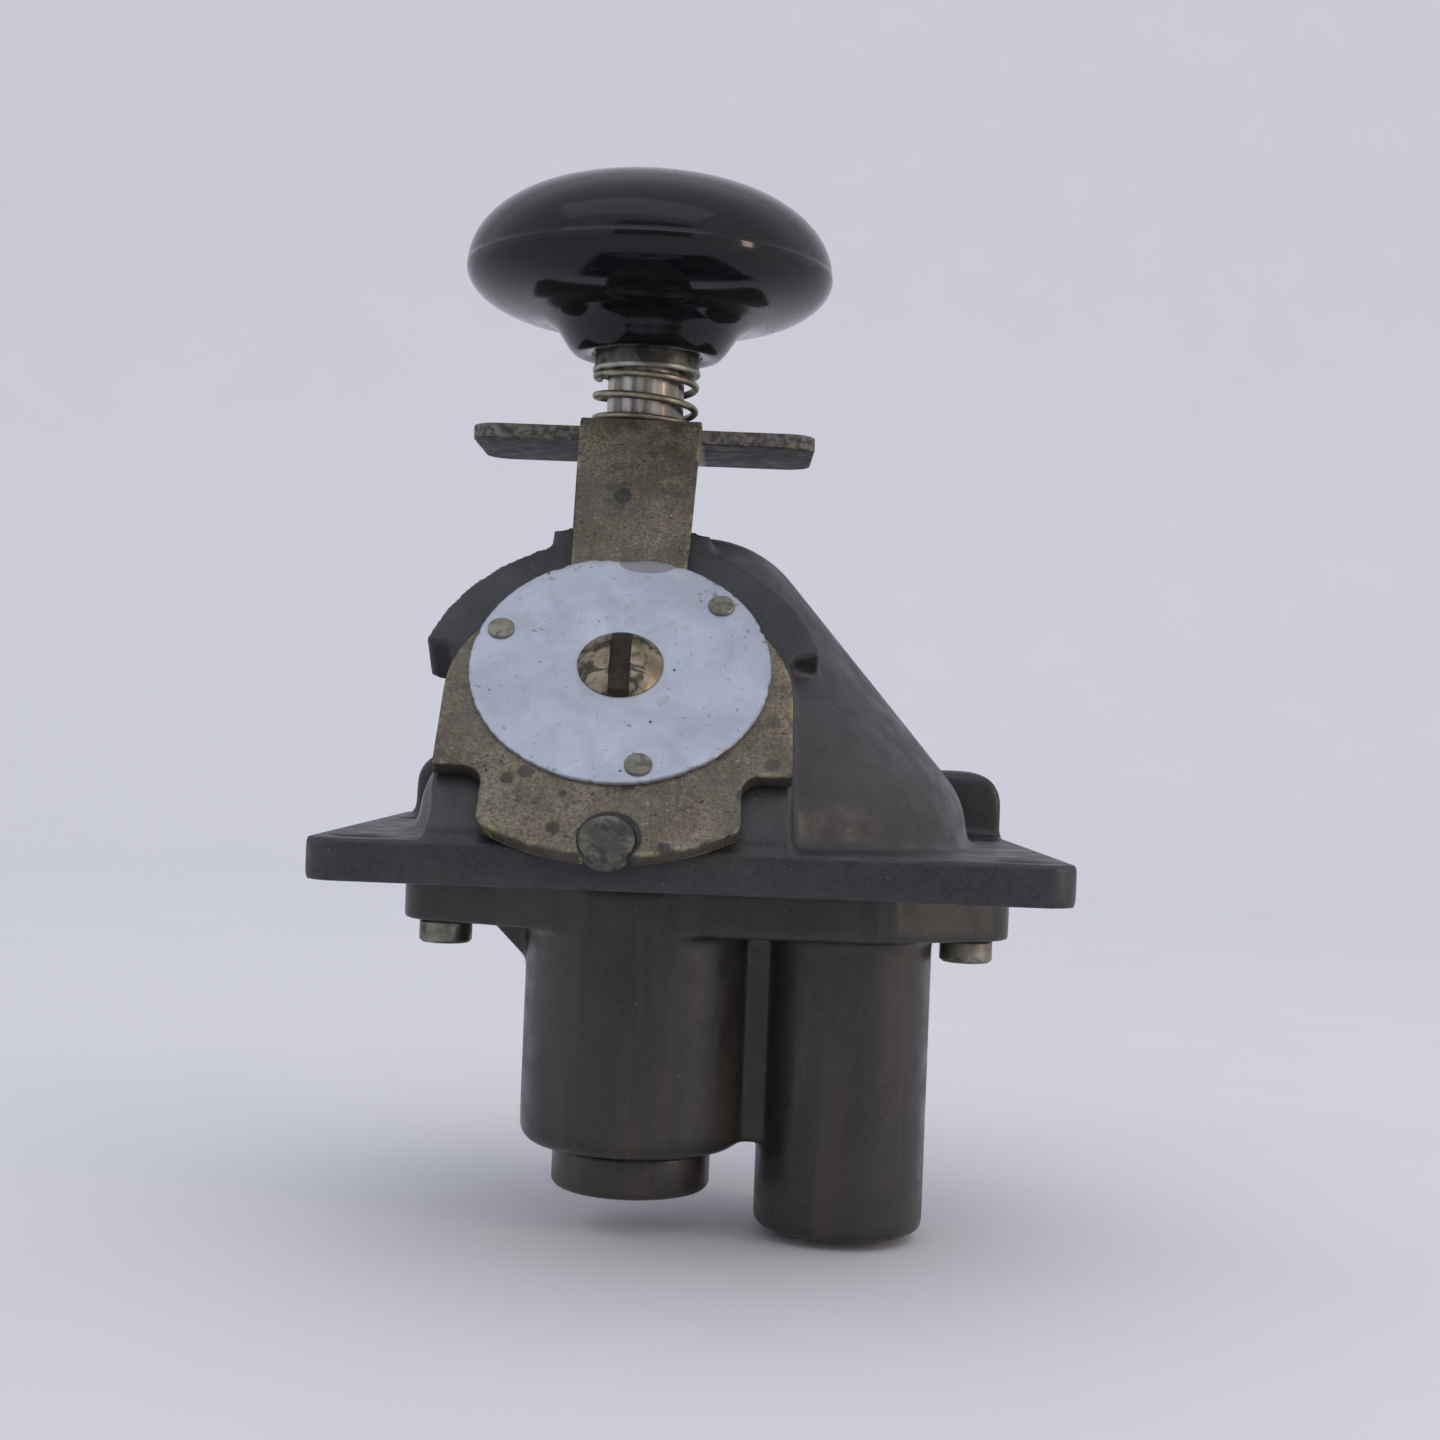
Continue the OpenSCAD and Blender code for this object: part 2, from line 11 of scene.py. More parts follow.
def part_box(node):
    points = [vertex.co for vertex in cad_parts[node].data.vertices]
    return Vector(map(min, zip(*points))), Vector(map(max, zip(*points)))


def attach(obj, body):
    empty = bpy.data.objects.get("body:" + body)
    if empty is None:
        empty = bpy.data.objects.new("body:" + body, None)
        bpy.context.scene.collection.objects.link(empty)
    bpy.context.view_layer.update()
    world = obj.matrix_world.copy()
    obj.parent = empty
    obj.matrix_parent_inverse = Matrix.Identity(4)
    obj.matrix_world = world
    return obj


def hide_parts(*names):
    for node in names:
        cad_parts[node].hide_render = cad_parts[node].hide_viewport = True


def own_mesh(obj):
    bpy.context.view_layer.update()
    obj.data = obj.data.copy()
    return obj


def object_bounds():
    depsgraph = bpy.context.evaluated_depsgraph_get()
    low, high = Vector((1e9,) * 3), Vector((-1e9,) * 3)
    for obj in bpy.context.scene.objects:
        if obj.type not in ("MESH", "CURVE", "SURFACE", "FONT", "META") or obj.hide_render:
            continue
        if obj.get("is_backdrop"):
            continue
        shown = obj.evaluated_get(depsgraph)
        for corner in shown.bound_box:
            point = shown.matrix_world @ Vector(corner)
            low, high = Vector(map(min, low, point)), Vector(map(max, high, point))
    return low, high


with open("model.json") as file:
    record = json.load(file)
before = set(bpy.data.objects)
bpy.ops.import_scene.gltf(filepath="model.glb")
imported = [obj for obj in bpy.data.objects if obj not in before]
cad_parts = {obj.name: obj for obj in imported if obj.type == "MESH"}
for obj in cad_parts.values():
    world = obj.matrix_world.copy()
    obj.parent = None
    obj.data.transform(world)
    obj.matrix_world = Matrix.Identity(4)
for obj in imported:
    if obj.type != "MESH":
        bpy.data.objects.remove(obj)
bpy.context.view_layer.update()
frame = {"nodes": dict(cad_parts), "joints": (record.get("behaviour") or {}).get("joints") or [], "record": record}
nodes = frame["nodes"]
joints = {joint["name"]: joint for joint in frame["joints"]}
MM = 0.001
SCREW_SLOT_MM = 3.2      # width of the slot in the pivot screw
WELD = 4e-6              # metres; joins the corners that the CAD mesh splits
FLAT_DEGREES = 0.7       # facets that turn less than this become one face
CAST_VOXEL_MM = 0.62     # size of the voxels that remesh the castings
PARTING_Z = 0.106        # metres; height of the knob's parting edge
DISC_POINTS = 540        # around the name disc's rim
POINTS_PER_TURN = 40     # of a spring's wire


# ---------------------------------------------------------------- places taken from the frame
def middle(node):
    low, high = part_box(node)
    return (Vector(low) + Vector(high)) / 2


def half_width(node):
    low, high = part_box(node)
    return (high[0] - low[0]) / 2


hub_origin = Vector(joints["lever_swing"]["pos_m"])
hub_normal = Vector(joints["lever_swing"]["axis"]).normalized()
hub_up = hub_normal.cross(Vector((1, 0, 0))).normalized()
hub_frame = Matrix((Vector((1, 0, 0)), hub_up, hub_normal)).transposed().to_4x4()
hub_frame.translation = hub_origin
rod_axis = middle("press_rod")
cup_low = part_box("spring_cup")[0][2]
knob_low, knob_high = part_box("knob")
flange_low, flange_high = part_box("housing")


# ---------------------------------------------------------------- material helpers
class Shader:
    """A Principled material and short calls for the nodes that feed it."""

    def __init__(self, name, metallic=0.0, roughness=0.5):
        self.material = bpy.data.materials.new(name)
        self.material.use_nodes = True
        self.tree = self.material.node_tree
        self.shader = self.tree.nodes["Principled BSDF"]
        self.set("Metallic", metallic)
        self.set("Roughness", roughness)
        self.place = self.add("ShaderNodeTexCoord").outputs["Object"]
        self.normal = self.add("ShaderNodeNewGeometry").outputs["Normal"]

    def add(self, kind, **props):
        node = self.tree.nodes.new(kind)
        for prop, value in props.items():
            setattr(node, prop, value)
        return node

    def set(self, socket, value):
        """Fills one of the Principled shader's own sockets."""
        self.link(value, self.shader.inputs[socket])

    def link(self, value, target):
        """Joins a node's output to a socket, or writes a number, vector or colour into it."""
        if isinstance(value, bpy.types.NodeSocket):
            self.tree.links.new(value, target)
        elif isinstance(value, tuple) and len(value) == 3 and len(target.default_value) == 4:
            target.default_value = (*value, 1.0)
        else:
            target.default_value = value

    def stretched(self, x, y, z, turn=(0.0, 0.0, 0.0)):
        """Object coordinates scaled along each axis, then turned.

        A small scale makes long streaks along its axis. The turn doesn't change their
        direction, only which part of the pattern shows.
        """
        mapping = self.add("ShaderNodeMapping")
        mapping.inputs["Scale"].default_value = (x, y, z)
        mapping.inputs["Rotation"].default_value = turn
        self.link(self.place, mapping.inputs["Vector"])
        return mapping.outputs["Vector"]

    def dot(self, vector, direction, offset=0.0):
        """How far a vector reaches along a direction, less an offset."""
        node = self.add("ShaderNodeVectorMath", operation="DOT_PRODUCT")
        self.link(vector, node.inputs[0])
        node.inputs[1].default_value = direction
        return self.math("SUBTRACT", node.outputs["Value"], offset)

    def edges(self, radius_mm, flat=0.997):
        """1 on sharp edges within the radius, 0 where the ground is flatter than the limit."""
        bevel = self.add("ShaderNodeBevel", samples=4)
        bevel.inputs["Radius"].default_value = radius_mm * MM
        node = self.add("ShaderNodeVectorMath", operation="DOT_PRODUCT")
        self.link(bevel.outputs["Normal"], node.inputs[0])
        self.link(self.normal, node.inputs[1])
        return self.step(node.outputs["Value"], flat, flat - 0.05)

    def hub_place(self):
        """Across and up from the lever's pivot, in metres."""
        return (self.dot(self.place, (1, 0, 0), hub_origin.x),
                self.dot(self.place, hub_up, hub_origin.dot(hub_up)))

    def spot(self, across, up, at, radii_mm, ragged):
        """1 inside a ragged ellipse in the hub's plane, 0 outside."""
        x = self.math("DIVIDE", self.math("SUBTRACT", across, at[0] * MM), radii_mm[0] * MM)
        y = self.math("DIVIDE", self.math("SUBTRACT", up, at[1] * MM), radii_mm[1] * MM)
        far = self.math("ADD", self.math("MULTIPLY", x, x), self.math("MULTIPLY", y, y))
        rough = self.math("MULTIPLY", self.noise(1.0, detail=3.0), ragged * 2)
        return self.step(self.math("ADD", far, rough), 1.0 + ragged * 1.3, 0.85 + ragged)

    def axis(self, letter):
        """One of the object coordinates, in metres."""
        split = self.add("ShaderNodeSeparateXYZ")
        self.link(self.place, split.inputs[0])
        return split.outputs[letter]

    def noise(self, size_mm, detail=4.0, rough=0.55, warp=0.0, where=None):
        node = self.add("ShaderNodeTexNoise")
        node.inputs["Scale"].default_value = 1000.0 / size_mm
        node.inputs["Detail"].default_value = detail
        node.inputs["Roughness"].default_value = rough
        node.inputs["Distortion"].default_value = warp
        self.link(where or self.place, node.inputs["Vector"])
        return node.outputs["Fac"]

    def cells(self, size_mm):
        node = self.add("ShaderNodeTexVoronoi")
        node.inputs["Scale"].default_value = 1000.0 / size_mm
        self.link(self.place, node.inputs["Vector"])
        return node.outputs["Distance"]

    def step(self, value, low, high, out_low=0.0, out_high=1.0):
        """A smooth change from out_low to out_high as the value goes from low to high."""
        node = self.add("ShaderNodeMapRange")
        node.clamp = True
        node.interpolation_type = "SMOOTHSTEP"
        for socket, number in zip(("From Min", "From Max", "To Min", "To Max"),
                                  (low, high, out_low, out_high)):
            node.inputs[socket].default_value = number
        self.link(value, node.inputs["Value"])
        return node.outputs["Result"]

    def math(self, operation, a, b=0.5):
        node = self.add("ShaderNodeMath", operation=operation)
        self.link(a, node.inputs[0])
        self.link(b, node.inputs[1])
        return node.outputs[0]

    def mix(self, factor, a, b):
        """Blends two colours; 6, 7 and 2 are the Mix node's colour sockets."""
        node = self.add("ShaderNodeMix", data_type="RGBA")
        self.link(factor, node.inputs[0])
        self.link(a, node.inputs[6])
        self.link(b, node.inputs[7])
        return node.outputs[2]

    def bump(self, height, depth_mm, strength, under=None):
        """Relief from a height, on top of the relief under it."""
        node = self.add("ShaderNodeBump")
        node.inputs["Strength"].default_value = strength
        node.inputs["Distance"].default_value = depth_mm * MM
        self.link(height, node.inputs["Height"])
        if under is not None:
            self.link(under, node.inputs["Normal"])
        self.set("Normal", node.outputs["Normal"])
        return node.outputs["Normal"]

    def scratches(self, size_mm, turn, low, high):
        """1 on thin scratches square to X; another turn gives other scratches."""
        streak = self.stretched(1.0, 0.05, 0.05, turn)
        return self.step(self.noise(size_mm, detail=2.0, where=streak), low, high)


# ---------------------------------------------------------------- materials
def casting_paint(name, dark, light, warm, gloss, streaks=0.0):
    """Dark paint on a casting: mottle, warm stains, specks and rubbed edges, and vertical warm streaks that are a
    painted sheen.
    """
    s = Shader(name, roughness=gloss)
    mottle = s.step(s.noise(11.0, detail=6.0, warp=0.5), 0.34, 0.68)
    colour = s.mix(mottle, dark, light)
    stain = s.step(s.noise(30.0, detail=4.0), 0.46, 0.68, 0.0, 0.7)
    colour = s.mix(stain, colour, warm)
    # Vertical warm streaks: a painted sheen standing in for warm reflections running down the casting.
    if streaks:
        painted_sheen = s.noise(7.0, detail=3.0, warp=0.3, where=s.stretched(1.0, 1.0, 0.10))
        colour = s.mix(s.step(painted_sheen, 0.50, 0.66, 0.0, streaks), colour,
                       tuple(1.3 * c for c in warm))
    fine = s.step(s.noise(0.7, detail=4.0), 0.35, 0.75, 0.0, 0.30)
    colour = s.mix(fine, colour, tuple(2.0 * c for c in light))
    speck = s.step(s.math("ADD", s.cells(4.3), s.math("MULTIPLY", s.noise(0.8), 0.1)),
                   0.13, 0.09, 0.0, 0.45)
    colour = s.mix(speck, colour, (0.12, 0.115, 0.11))
    rub = s.math("MULTIPLY", s.edges(0.9, 0.96), s.step(s.noise(3.0, detail=6.0), 0.46, 0.62))
    colour = s.mix(s.math("MULTIPLY", rub, 0.55), colour, (0.17, 0.17, 0.172))
    s.set("Base Color", colour)
    rough = s.step(s.noise(5.0, detail=6.0), 0.3, 0.7, gloss - 0.08, gloss + 0.12)
    s.set("Roughness", rough)
    grain = s.bump(s.noise(0.8, detail=5.0, rough=0.6), 0.06, 0.55)
    s.bump(s.noise(6.0, detail=3.0), 0.20, 0.35, under=grain)
    return s.material


def lever_plating():
    """Tan plating worn to grain, pitted, yellowed at the edges, greyer on the finger wings, with painted shade on
    the plate's side faces and the wings' undersides and a painted shadow in the pin's notch.
    """
    s = Shader("worn_plating", metallic=0.45, roughness=0.5)
    across, up = s.hub_place()
    base = s.mix(s.step(s.noise(8.0, detail=6.0, warp=0.6), 0.34, 0.66),
                 (0.124, 0.102, 0.066), (0.215, 0.184, 0.128))
    brushed = s.noise(0.8, detail=3.0, where=s.stretched(1.0, 0.08, 0.08))
    base = s.mix(s.step(brushed, 0.35, 0.75, 0.0, 0.30), base, (0.29, 0.26, 0.21))
    fine = s.step(s.noise(0.55, detail=4.0, rough=0.7), 0.42, 0.62, 0.0, 0.75)
    base = s.mix(fine, base, (0.068, 0.056, 0.042))
    pale = s.step(s.noise(0.8, detail=5.0, rough=0.7), 0.56, 0.68, 0.0, 0.6)
    base = s.mix(pale, base, (0.36, 0.34, 0.26))
    haze = s.step(s.noise(19.0, detail=3.0), 0.46, 0.66, 0.0, 0.5)
    base = s.mix(haze, base, (0.105, 0.095, 0.082))
    low = s.step(up, -12.0 * MM, -26.0 * MM, 0.55, 1.0)
    pits = s.math("ADD", s.cells(5.2), s.math("MULTIPLY", s.noise(1.6, detail=5.0), 0.24))
    blot = s.math("MULTIPLY", s.step(pits, 0.40, 0.29), low)
    base = s.mix(s.math("MULTIPLY", blot, 0.9), base, (0.024, 0.019, 0.016))
    pits = s.math("ADD", s.cells(1.9), s.math("MULTIPLY", s.noise(0.8), 0.25))
    dots = s.step(pits, 0.30, 0.22)
    dots = s.math("MULTIPLY", dots, s.step(s.noise(6.0, detail=3.0), 0.40, 0.54, 0.25, 1.0))
    base = s.mix(s.math("MULTIPLY", dots, 0.85), base, (0.034, 0.028, 0.024))
    stain = s.spot(across, up, (-2.0, 38.6), (1.5, 1.9), 0.45)
    base = s.mix(s.math("MULTIPLY", stain, 0.8), base, (0.030, 0.036, 0.036))
    # Side faces of the plate, square to the hub's face, turn dark: painted shade.
    side = s.step(s.math("ABSOLUTE", s.dot(s.normal, hub_normal)), 0.58, 0.40, 0.0, 0.75)
    base = s.mix(side, base, (0.040, 0.035, 0.028))
    reach = s.math("ABSOLUTE", across)
    wing = s.math("MULTIPLY", s.step(reach, 10.3 * MM, 11.3 * MM),
                  s.step(s.axis("Z"), 74.0 * MM, 75.0 * MM))
    wing = s.math("MULTIPLY", wing, s.step(s.noise(5.0, detail=5.0), 0.25, 0.60, 0.70, 0.95))
    # Faces that look down, the wings' undersides, get a very dark colour: painted shade.
    under = s.step(s.dot(s.normal, (0, 0, -1)), 0.5, 0.8)
    wing_tone_and_underside_shade = s.mix(s.step(s.noise(0.9, detail=5.0), 0.35, 0.65), (0.070, 0.070, 0.072),
                      (0.235, 0.225, 0.21))
    wing_tone_and_underside_shade = s.mix(under, wing_tone_and_underside_shade, s.mix(s.noise(2.0, detail=5.0), (0.018, 0.019, 0.022),
                                              (0.046, 0.046, 0.050)))
    base = s.mix(wing, base, wing_tone_and_underside_shade)
    edge = s.edges(1.1)
    residue = s.math("MULTIPLY", edge, s.step(s.noise(5.0), 0.46, 0.58))
    base = s.mix(s.math("MULTIPLY", residue, 0.75), base, (0.36, 0.335, 0.16))
    bitten = s.math("MULTIPLY", edge, s.step(s.noise(2.2, detail=4.0), 0.50, 0.58))
    base = s.mix(s.math("MULTIPLY", bitten, 0.8), base, (0.040, 0.036, 0.030))
    # A near-black disc around the pin, a little above it, is a painted shadow in the notch's clearance; it is also
    # made less metallic.
    ring = s.spot(across, up, (0.45, -32.75), (4.85, 4.85), 0.05)
    base = s.mix(ring, base, (0.012, 0.011, 0.010))
    s.set("Base Color", base)
    s.set("Metallic", s.step(s.math("MAXIMUM", blot, ring), 0.2, 0.8, 0.45, 0.05))
    rough = s.step(s.noise(3.0, detail=6.0), 0.3, 0.7, 0.40, 0.66)
    s.set("Roughness", s.math("ADD", rough, s.math("MULTIPLY", wing, 0.25)))
    grain = s.bump(s.noise(0.5, detail=5.0), 0.035, 0.7)
    s.bump(s.math("SUBTRACT", 0.0, s.math("ADD", blot, dots)), 0.07, 0.7, under=grain)
    return s.material


def disc_finish():
    """Satin aluminium with scratches, nicks and a rubbed grey patch where the arm begins."""
    s = Shader("disc_aluminium", metallic=0.6, roughness=0.38)
    across, up = s.hub_place()
    cloud = s.step(s.noise(9.0, detail=5.0, warp=0.5), 0.3, 0.7)
    base = s.mix(cloud, (0.37, 0.40, 0.47), (0.46, 0.50, 0.575))
    smudge = s.step(s.noise(3.2, detail=6.0), 0.56, 0.70, 0.0, 0.45)
    base = s.mix(smudge, base, (0.34, 0.36, 0.40))
    marks = s.math("MAXIMUM", s.scratches(0.8, (0.0, 0.0, 0.5), 0.67, 0.71),
                   s.scratches(0.6, (0.4, 0.0, -0.7), 0.68, 0.72))
    base = s.mix(s.math("MULTIPLY", marks, 0.12), base, (0.66, 0.68, 0.72))
    dirt = s.step(s.noise(1.3, detail=4.0), 0.64, 0.70, 0.0, 0.6)
    base = s.mix(dirt, base, (0.16, 0.17, 0.17))
    nicks = s.math("ADD", s.cells(4.2), s.math("MULTIPLY", s.noise(1.0), 0.2))
    base = s.mix(s.step(nicks, 0.17, 0.13), base, (0.10, 0.10, 0.11))
    rubbed = s.spot(across, up, (3.2, 22.2), (4.9, 2.3), 0.12)
    base = s.mix(s.math("MULTIPLY", rubbed, 0.85), base, (0.235, 0.225, 0.24))
    corner = s.spot(across, up, (15.5, 16.0), (4.2, 4.6), 0.5)
    worn = s.math("MULTIPLY", corner, s.step(s.noise(1.6, detail=5.0), 0.50, 0.60))
    base = s.mix(s.math("MULTIPLY", worn, 0.75), base, (0.16, 0.19, 0.18))
    grime = s.math("MULTIPLY", s.edges(0.5), s.step(s.noise(1.5), 0.40, 0.58))
    base = s.mix(s.math("MULTIPLY", grime, 0.8), base, (0.15, 0.17, 0.15))
    s.set("Base Color", base)
    s.set("Roughness", s.step(s.noise(2.4, detail=6.0), 0.3, 0.7, 0.32, 0.48))
    relief = s.math("ADD", s.noise(0.35, detail=4.0), s.math("MULTIPLY", marks, -0.6))
    s.bump(relief, 0.012, 0.5)
    return s.material


def plain_metal(name, dark, light, roughness, grime, metallic=0.85, dirt_size=1.6,
                slot_mm=None):
    """Dull metal with grime in patches, and painted shade in the slot of a screw at the hub."""
    s = Shader(name, metallic=metallic, roughness=roughness)
    base = s.mix(s.step(s.noise(4.0, detail=6.0, warp=0.3), 0.35, 0.65), dark, light)
    patch = s.step(s.noise(dirt_size * 3, detail=5.0, warp=0.8), 0.50, 0.62, 0.0, grime)
    base = s.mix(patch, base, (0.028, 0.025, 0.022))
    worn = s.math("MULTIPLY", s.edges(0.35), s.step(s.noise(1.2), 0.42, 0.60, 0.0, 0.5))
    base = s.mix(worn, base, tuple(min(1.0, c * 1.5) for c in light))
    if slot_mm:
        aside = s.math("ABSOLUTE", s.hub_place()[0])
        blot = s.step(s.noise(3.6, detail=5.0, warp=0.8), 0.53, 0.60, 0.0, 0.85)
        base = s.mix(blot, base, (0.045, 0.040, 0.034))
        # Inside the slot the colour turns almost black: painted shade in the slot's recess.
        inside = s.step(aside, (slot_mm / 2 + 0.12) * MM, (slot_mm / 2 - 0.05) * MM)
        base = s.mix(inside, base, s.mix(s.noise(1.1), (0.012, 0.010, 0.009),
                                         (0.060, 0.048, 0.038)))
    s.set("Base Color", base)
    s.set("Roughness", s.step(s.noise(dirt_size, detail=6.0), 0.3, 0.7,
                              roughness - 0.06, roughness + 0.14))
    s.bump(s.noise(dirt_size * 0.4, detail=5.0), 0.03, 0.5)
    return s.material


def turned_steel():
    """Bright rod with long brown and pale streaks."""
    s = Shader("turned_steel", metallic=1.0, roughness=0.25)
    along = s.stretched(1.0, 1.0, 0.04)
    streak = s.step(s.noise(2.6, detail=3.0, where=along), 0.36, 0.64)
    base = s.mix(streak, (0.20, 0.18, 0.15), (0.50, 0.49, 0.455))
    brown = s.step(s.noise(3.4, detail=2.0, warp=0.3, where=along), 0.54, 0.62, 0.0, 0.75)
    base = s.mix(brown, base, (0.15, 0.115, 0.085))
    s.set("Base Color", base)
    s.set("Roughness", s.step(s.noise(1.4, detail=4.0, where=along), 0.3, 0.7, 0.26, 0.42))
    s.bump(s.noise(0.6, detail=2.0), 0.004, 0.3)
    return s.material


def knob_gloss():
    """Black moulded gloss with a little dust, haze and fine scratches."""
    s = Shader("black_phenolic", roughness=0.09)
    s.set("IOR", 1.40)
    dust = s.step(s.noise(1.1, detail=6.0), 0.66, 0.76, 0.0, 0.10)
    base = s.mix(dust, (0.0045, 0.0045, 0.006), (0.03, 0.03, 0.032))
    haze = s.step(s.noise(17.0, detail=3.0), 0.45, 0.70, 0.0, 0.25)
    base = s.mix(haze, base, (0.008, 0.009, 0.014))
    s.set("Base Color", base)
    marks = s.math("MAXIMUM", s.scratches(0.7, (0.2, 0.5, 0.3), 0.70, 0.73),
                   s.scratches(0.6, (0.9, 0.1, 1.2), 0.71, 0.74))
    rough = s.step(s.noise(8.0, detail=5.0), 0.3, 0.7, 0.07, 0.15)
    s.set("Roughness", s.math("ADD", rough, s.math("MULTIPLY", marks, 0.18)))
    s.bump(s.noise(9.0, detail=2.0), 0.03, 0.25)
    return s.material


def rubber():
    """Matt black gasket and seals."""
    s = Shader("gasket", roughness=0.7)
    s.set("Base Color", s.mix(s.noise(2.0), (0.018, 0.018, 0.018), (0.035, 0.034, 0.033)))
    s.bump(s.noise(0.4, detail=4.0), 0.03, 0.6)
    return s.material


def pale_ground():
    """The floor's pale, slightly uneven and finely grained surface."""
    s = Shader("pale_ground", roughness=0.9)
    s.set("Base Color", s.mix(s.noise(60.0, detail=3.0),
                              (0.80, 0.805, 0.84), (0.84, 0.845, 0.88)))
    s.bump(s.cells(2.6), 0.10, 0.25)
    return s.material


MATERIALS = {
    "cast_grey": casting_paint("cast_grey", (0.017, 0.018, 0.021), (0.029, 0.030, 0.034),
                               (0.031, 0.029, 0.026), 0.44),
    # The lower casting's streaks are a painted brown sheen.
    "cast_brown": casting_paint("cast_brown", (0.016, 0.016, 0.0155), (0.028, 0.026, 0.023),
                                (0.038, 0.030, 0.021), 0.34, streaks=0.7),
    "worn_plating": lever_plating(),
    "disc_aluminium": disc_finish(),
    "bronze": plain_metal("bronze", (0.30, 0.20, 0.08), (0.52, 0.38, 0.17), 0.32, 0.3),
    "gasket": rubber(),
    "screw_steel": plain_metal("screw_steel", (0.17, 0.16, 0.125), (0.30, 0.285, 0.235),
                               0.42, 0.6),
    "turned_steel": turned_steel(),
    "rivet_metal": plain_metal("rivet_metal", (0.16, 0.155, 0.125), (0.27, 0.265, 0.22),
                               0.42, 0.45, dirt_size=0.8),
    "worn_brass": plain_metal("worn_brass", (0.19, 0.155, 0.105), (0.33, 0.285, 0.205),
                              0.38, 0.85, dirt_size=1.5, slot_mm=SCREW_SLOT_MM),
    "pin_steel": plain_metal("pin_steel", (0.060, 0.063, 0.052), (0.17, 0.175, 0.145),
                             0.55, 0.7, metallic=0.5, dirt_size=0.7),
    "black_phenolic": knob_gloss(),
    "worn_steel": plain_metal("worn_steel", (0.28, 0.27, 0.235), (0.46, 0.45, 0.40),
                              0.40, 0.55),
    "spring_wire": plain_metal("spring_wire", (0.20, 0.175, 0.12), (0.36, 0.33, 0.25),
                               0.34, 0.5),
}


def paint(obj, slot_name):
    obj.data.materials.clear()
    obj.data.materials.append(MATERIALS[slot_name])


slots = {part["node"]: part["material_slot"] for part in frame["record"]["subparts"]}
bodies = {node: body for body, inside in frame["record"]["behaviour"]["bodies"].items()
          for node in inside}
for node, slot_name in slots.items():
    paint(nodes[node], slot_name)


# ---------------------------------------------------------------- piece helpers
def in_scene(name, data):
    obj = bpy.data.objects.new(name, data)
    bpy.context.scene.collection.objects.link(obj)
    return obj


def shade_smooth(mesh):
    for polygon in mesh.polygons:
        polygon.use_smooth = True


def mesh_from(bm, name):
    """The mesh that a bmesh holds; the bmesh is freed."""
    mesh = bpy.data.meshes.new(name)
    bm.to_mesh(mesh)
    bm.free()
    return mesh


def evaluated_mesh(obj):
    """The mesh that an object shows, with its modifiers or its curve's bevel applied."""
    graph = bpy.context.evaluated_depsgraph_get()
    return bpy.data.meshes.new_from_object(obj.evaluated_get(graph))


def piece_from_mesh(name, mesh, node):
    """A visible piece that rides on its CAD node's body and stands for that node."""
    obj = in_scene(name, mesh)
    paint(obj, slots[node])
    shade_smooth(mesh)
    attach(obj, bodies[node])
    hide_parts(node)
    return obj


def baked(work, name, node):
    """The piece that a working object gives once its modifiers are applied."""
    mesh = evaluated_mesh(work)
    mesh.name = name
    bpy.data.objects.remove(work)
    return piece_from_mesh(name, mesh, node)


def copy_of(node):
    return in_scene(node + "_work", nodes[node].data.copy())


def smoothing(work, name, passes):
    smooth = work.modifiers.new(name, "SMOOTH")
    smooth.factor = 0.5
    smooth.iterations = passes
    return smooth


def cast(node, name, passes, heavy=None, heavy_passes=0):
    """The CAD node's own shape with soft corners, and with wide fillets where heavy says so."""
    work = copy_of(node)
    remesh = work.modifiers.new("skin", "REMESH")
    remesh.mode = "VOXEL"
    remesh.voxel_size = CAST_VOXEL_MM * MM
    mesh = evaluated_mesh(work)
    work.modifiers.clear()
    work.data = mesh
    if heavy:
        group = work.vertex_groups.new(name="heavy")
        for vertex in mesh.vertices:
            weight = heavy(vertex.co)
            if weight > 0:
                group.add([vertex.index], weight, "REPLACE")
        smoothing(work, "wide", heavy_passes).vertex_group = "heavy"
    smoothing(work, "round", passes)
    return baked(work, name, node)


def machined(node, name, bevel_mm, segments=2, corner=32, clamp=True):
    """The CAD node's own shape with its facets merged and its sharp edges broken.

    Clamping keeps bevels from crossing, but it shrinks them all to the tightest one.
    """
    work = copy_of(node)
    bm = bmesh.new()
    bm.from_mesh(work.data)
    bmesh.ops.remove_doubles(bm, verts=bm.verts, dist=WELD)
    bmesh.ops.dissolve_limit(bm, angle_limit=math.radians(FLAT_DEGREES), verts=bm.verts,
                             edges=bm.edges)
    bm.to_mesh(work.data)
    bm.free()
    shade_smooth(work.data)
    bevel = work.modifiers.new("edges", "BEVEL")
    bevel.width = bevel_mm * MM
    bevel.segments = segments
    bevel.limit_method = "ANGLE"
    bevel.angle_limit = math.radians(corner)
    bevel.harden_normals = True
    bevel.use_clamp_overlap = clamp
    return baked(work, name, node)


def lathe(name, outline, centre, node, segments):
    """A turned shape from (radius, height) points in order, about a vertical axis."""
    bm = bmesh.new()
    rings = []
    for radius, height in outline:
        if radius < 1e-6:  # a point on the axis
            rings.append([bm.verts.new((centre.x, centre.y, height))])
            continue
        angles = [2 * math.pi * i / segments for i in range(segments)]
        rings.append([bm.verts.new((centre.x + radius * math.cos(angle),
                                    centre.y + radius * math.sin(angle), height))
                      for angle in angles])
    for low, high in zip(rings, rings[1:]):
        for i in range(segments):
            j = (i + 1) % segments
            corners = [low[i % len(low)], low[j % len(low)],
                       high[j % len(high)], high[i % len(high)]]
            bm.faces.new(list(dict.fromkeys(corners)))
    bmesh.ops.recalc_face_normals(bm, faces=bm.faces)
    return piece_from_mesh(name, mesh_from(bm, name), node)


